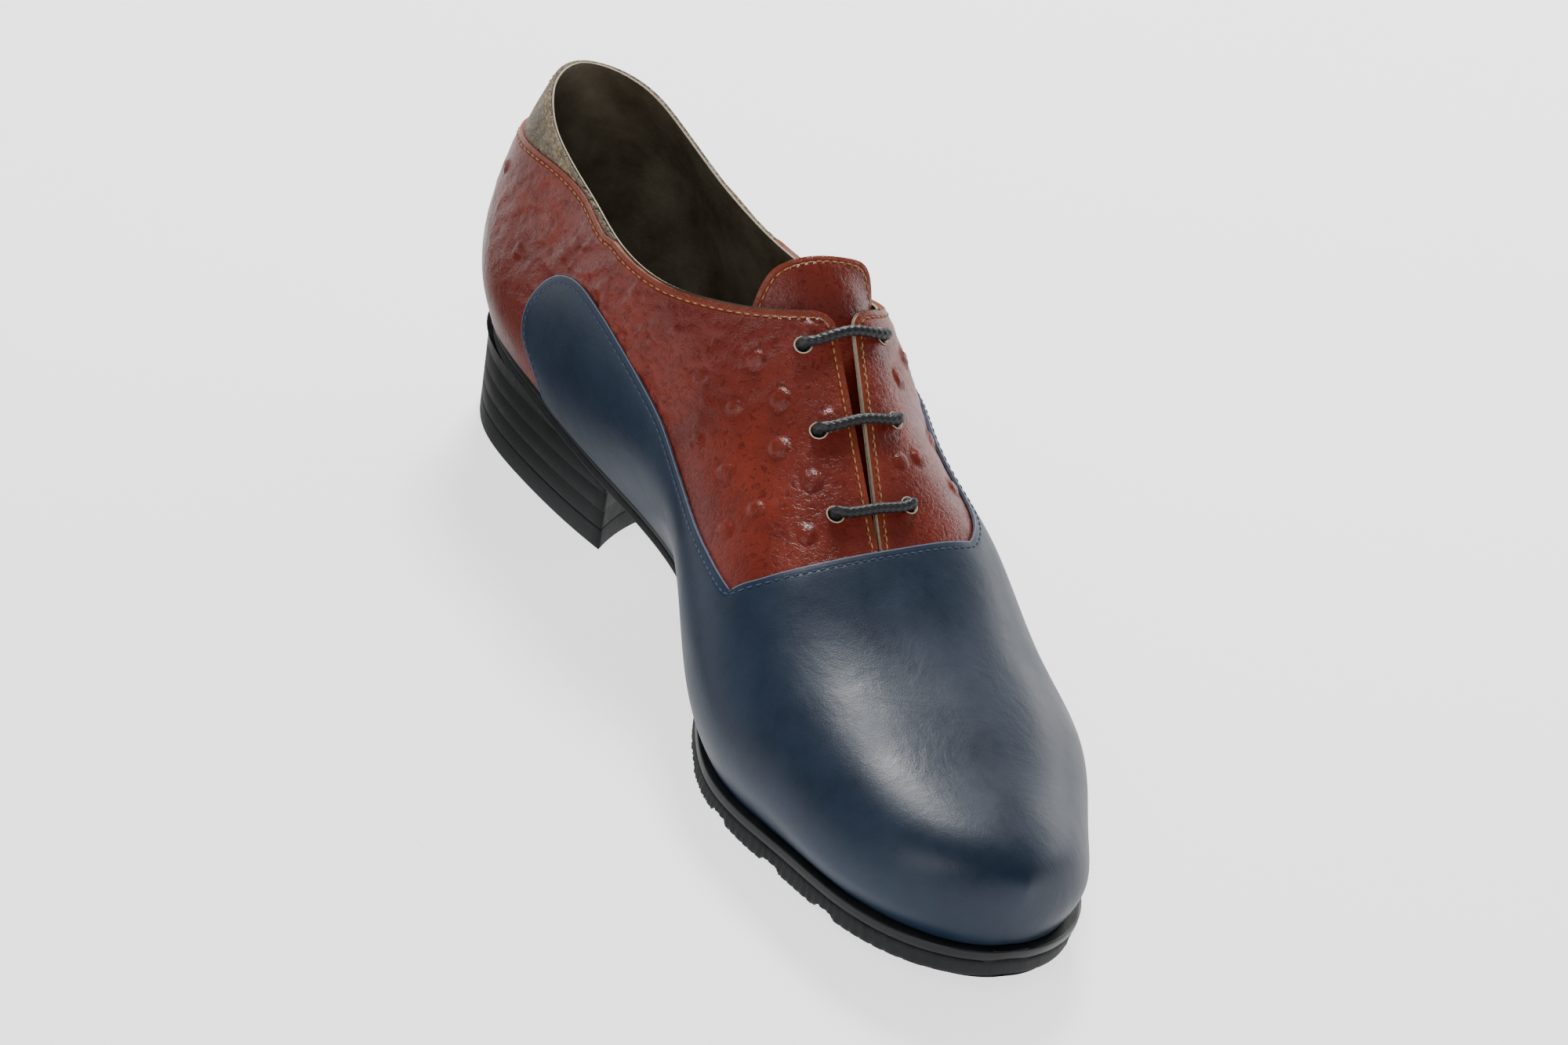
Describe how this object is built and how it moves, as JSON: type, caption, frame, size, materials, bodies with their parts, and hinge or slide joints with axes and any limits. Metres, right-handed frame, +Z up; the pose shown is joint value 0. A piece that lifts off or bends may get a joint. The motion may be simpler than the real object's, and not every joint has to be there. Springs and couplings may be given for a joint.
{
  "type": "spectator shoe",
  "caption": "Left leather spectator shoe with swept-back wings, closed lacing over a tongue, a two-tone upper, a thin rubber sole and a block heel.",
  "frame": {"origin": "On the floor, below the middle of the shoe's bounding box", "axes": "+X from heel to toe, +Y to the outer side of the foot, +Z up; the shoe stands on heel and forefoot"},
  "size_m": [0.2806, 0.0994, 0.1037],
  "materials": {
    "top_piece": "matte",
    "heel_block": "satin",
    "outsole": "matte",
    "midsole": "gloss",
    "insole": "satin",
    "quarter_leather": "satin gloss",
    "vamp_leather": "satin gloss",
    "collar_leather": "satin",
    "lace": "waxed",
    "lining": "matte"
  },
  "bodies": {
    "root": {"top_piece": "top_piece", "heel_block": "heel_block", "outsole": "outsole", "midsole": "midsole", "insole": "insole", "upper": "quarter_leather", "vamp_lining": "lining", "vamp": "vamp_leather", "heel_collar": "collar_leather", "tongue": "quarter_leather", "lace": "lace"}
  },
  "joints": []
}
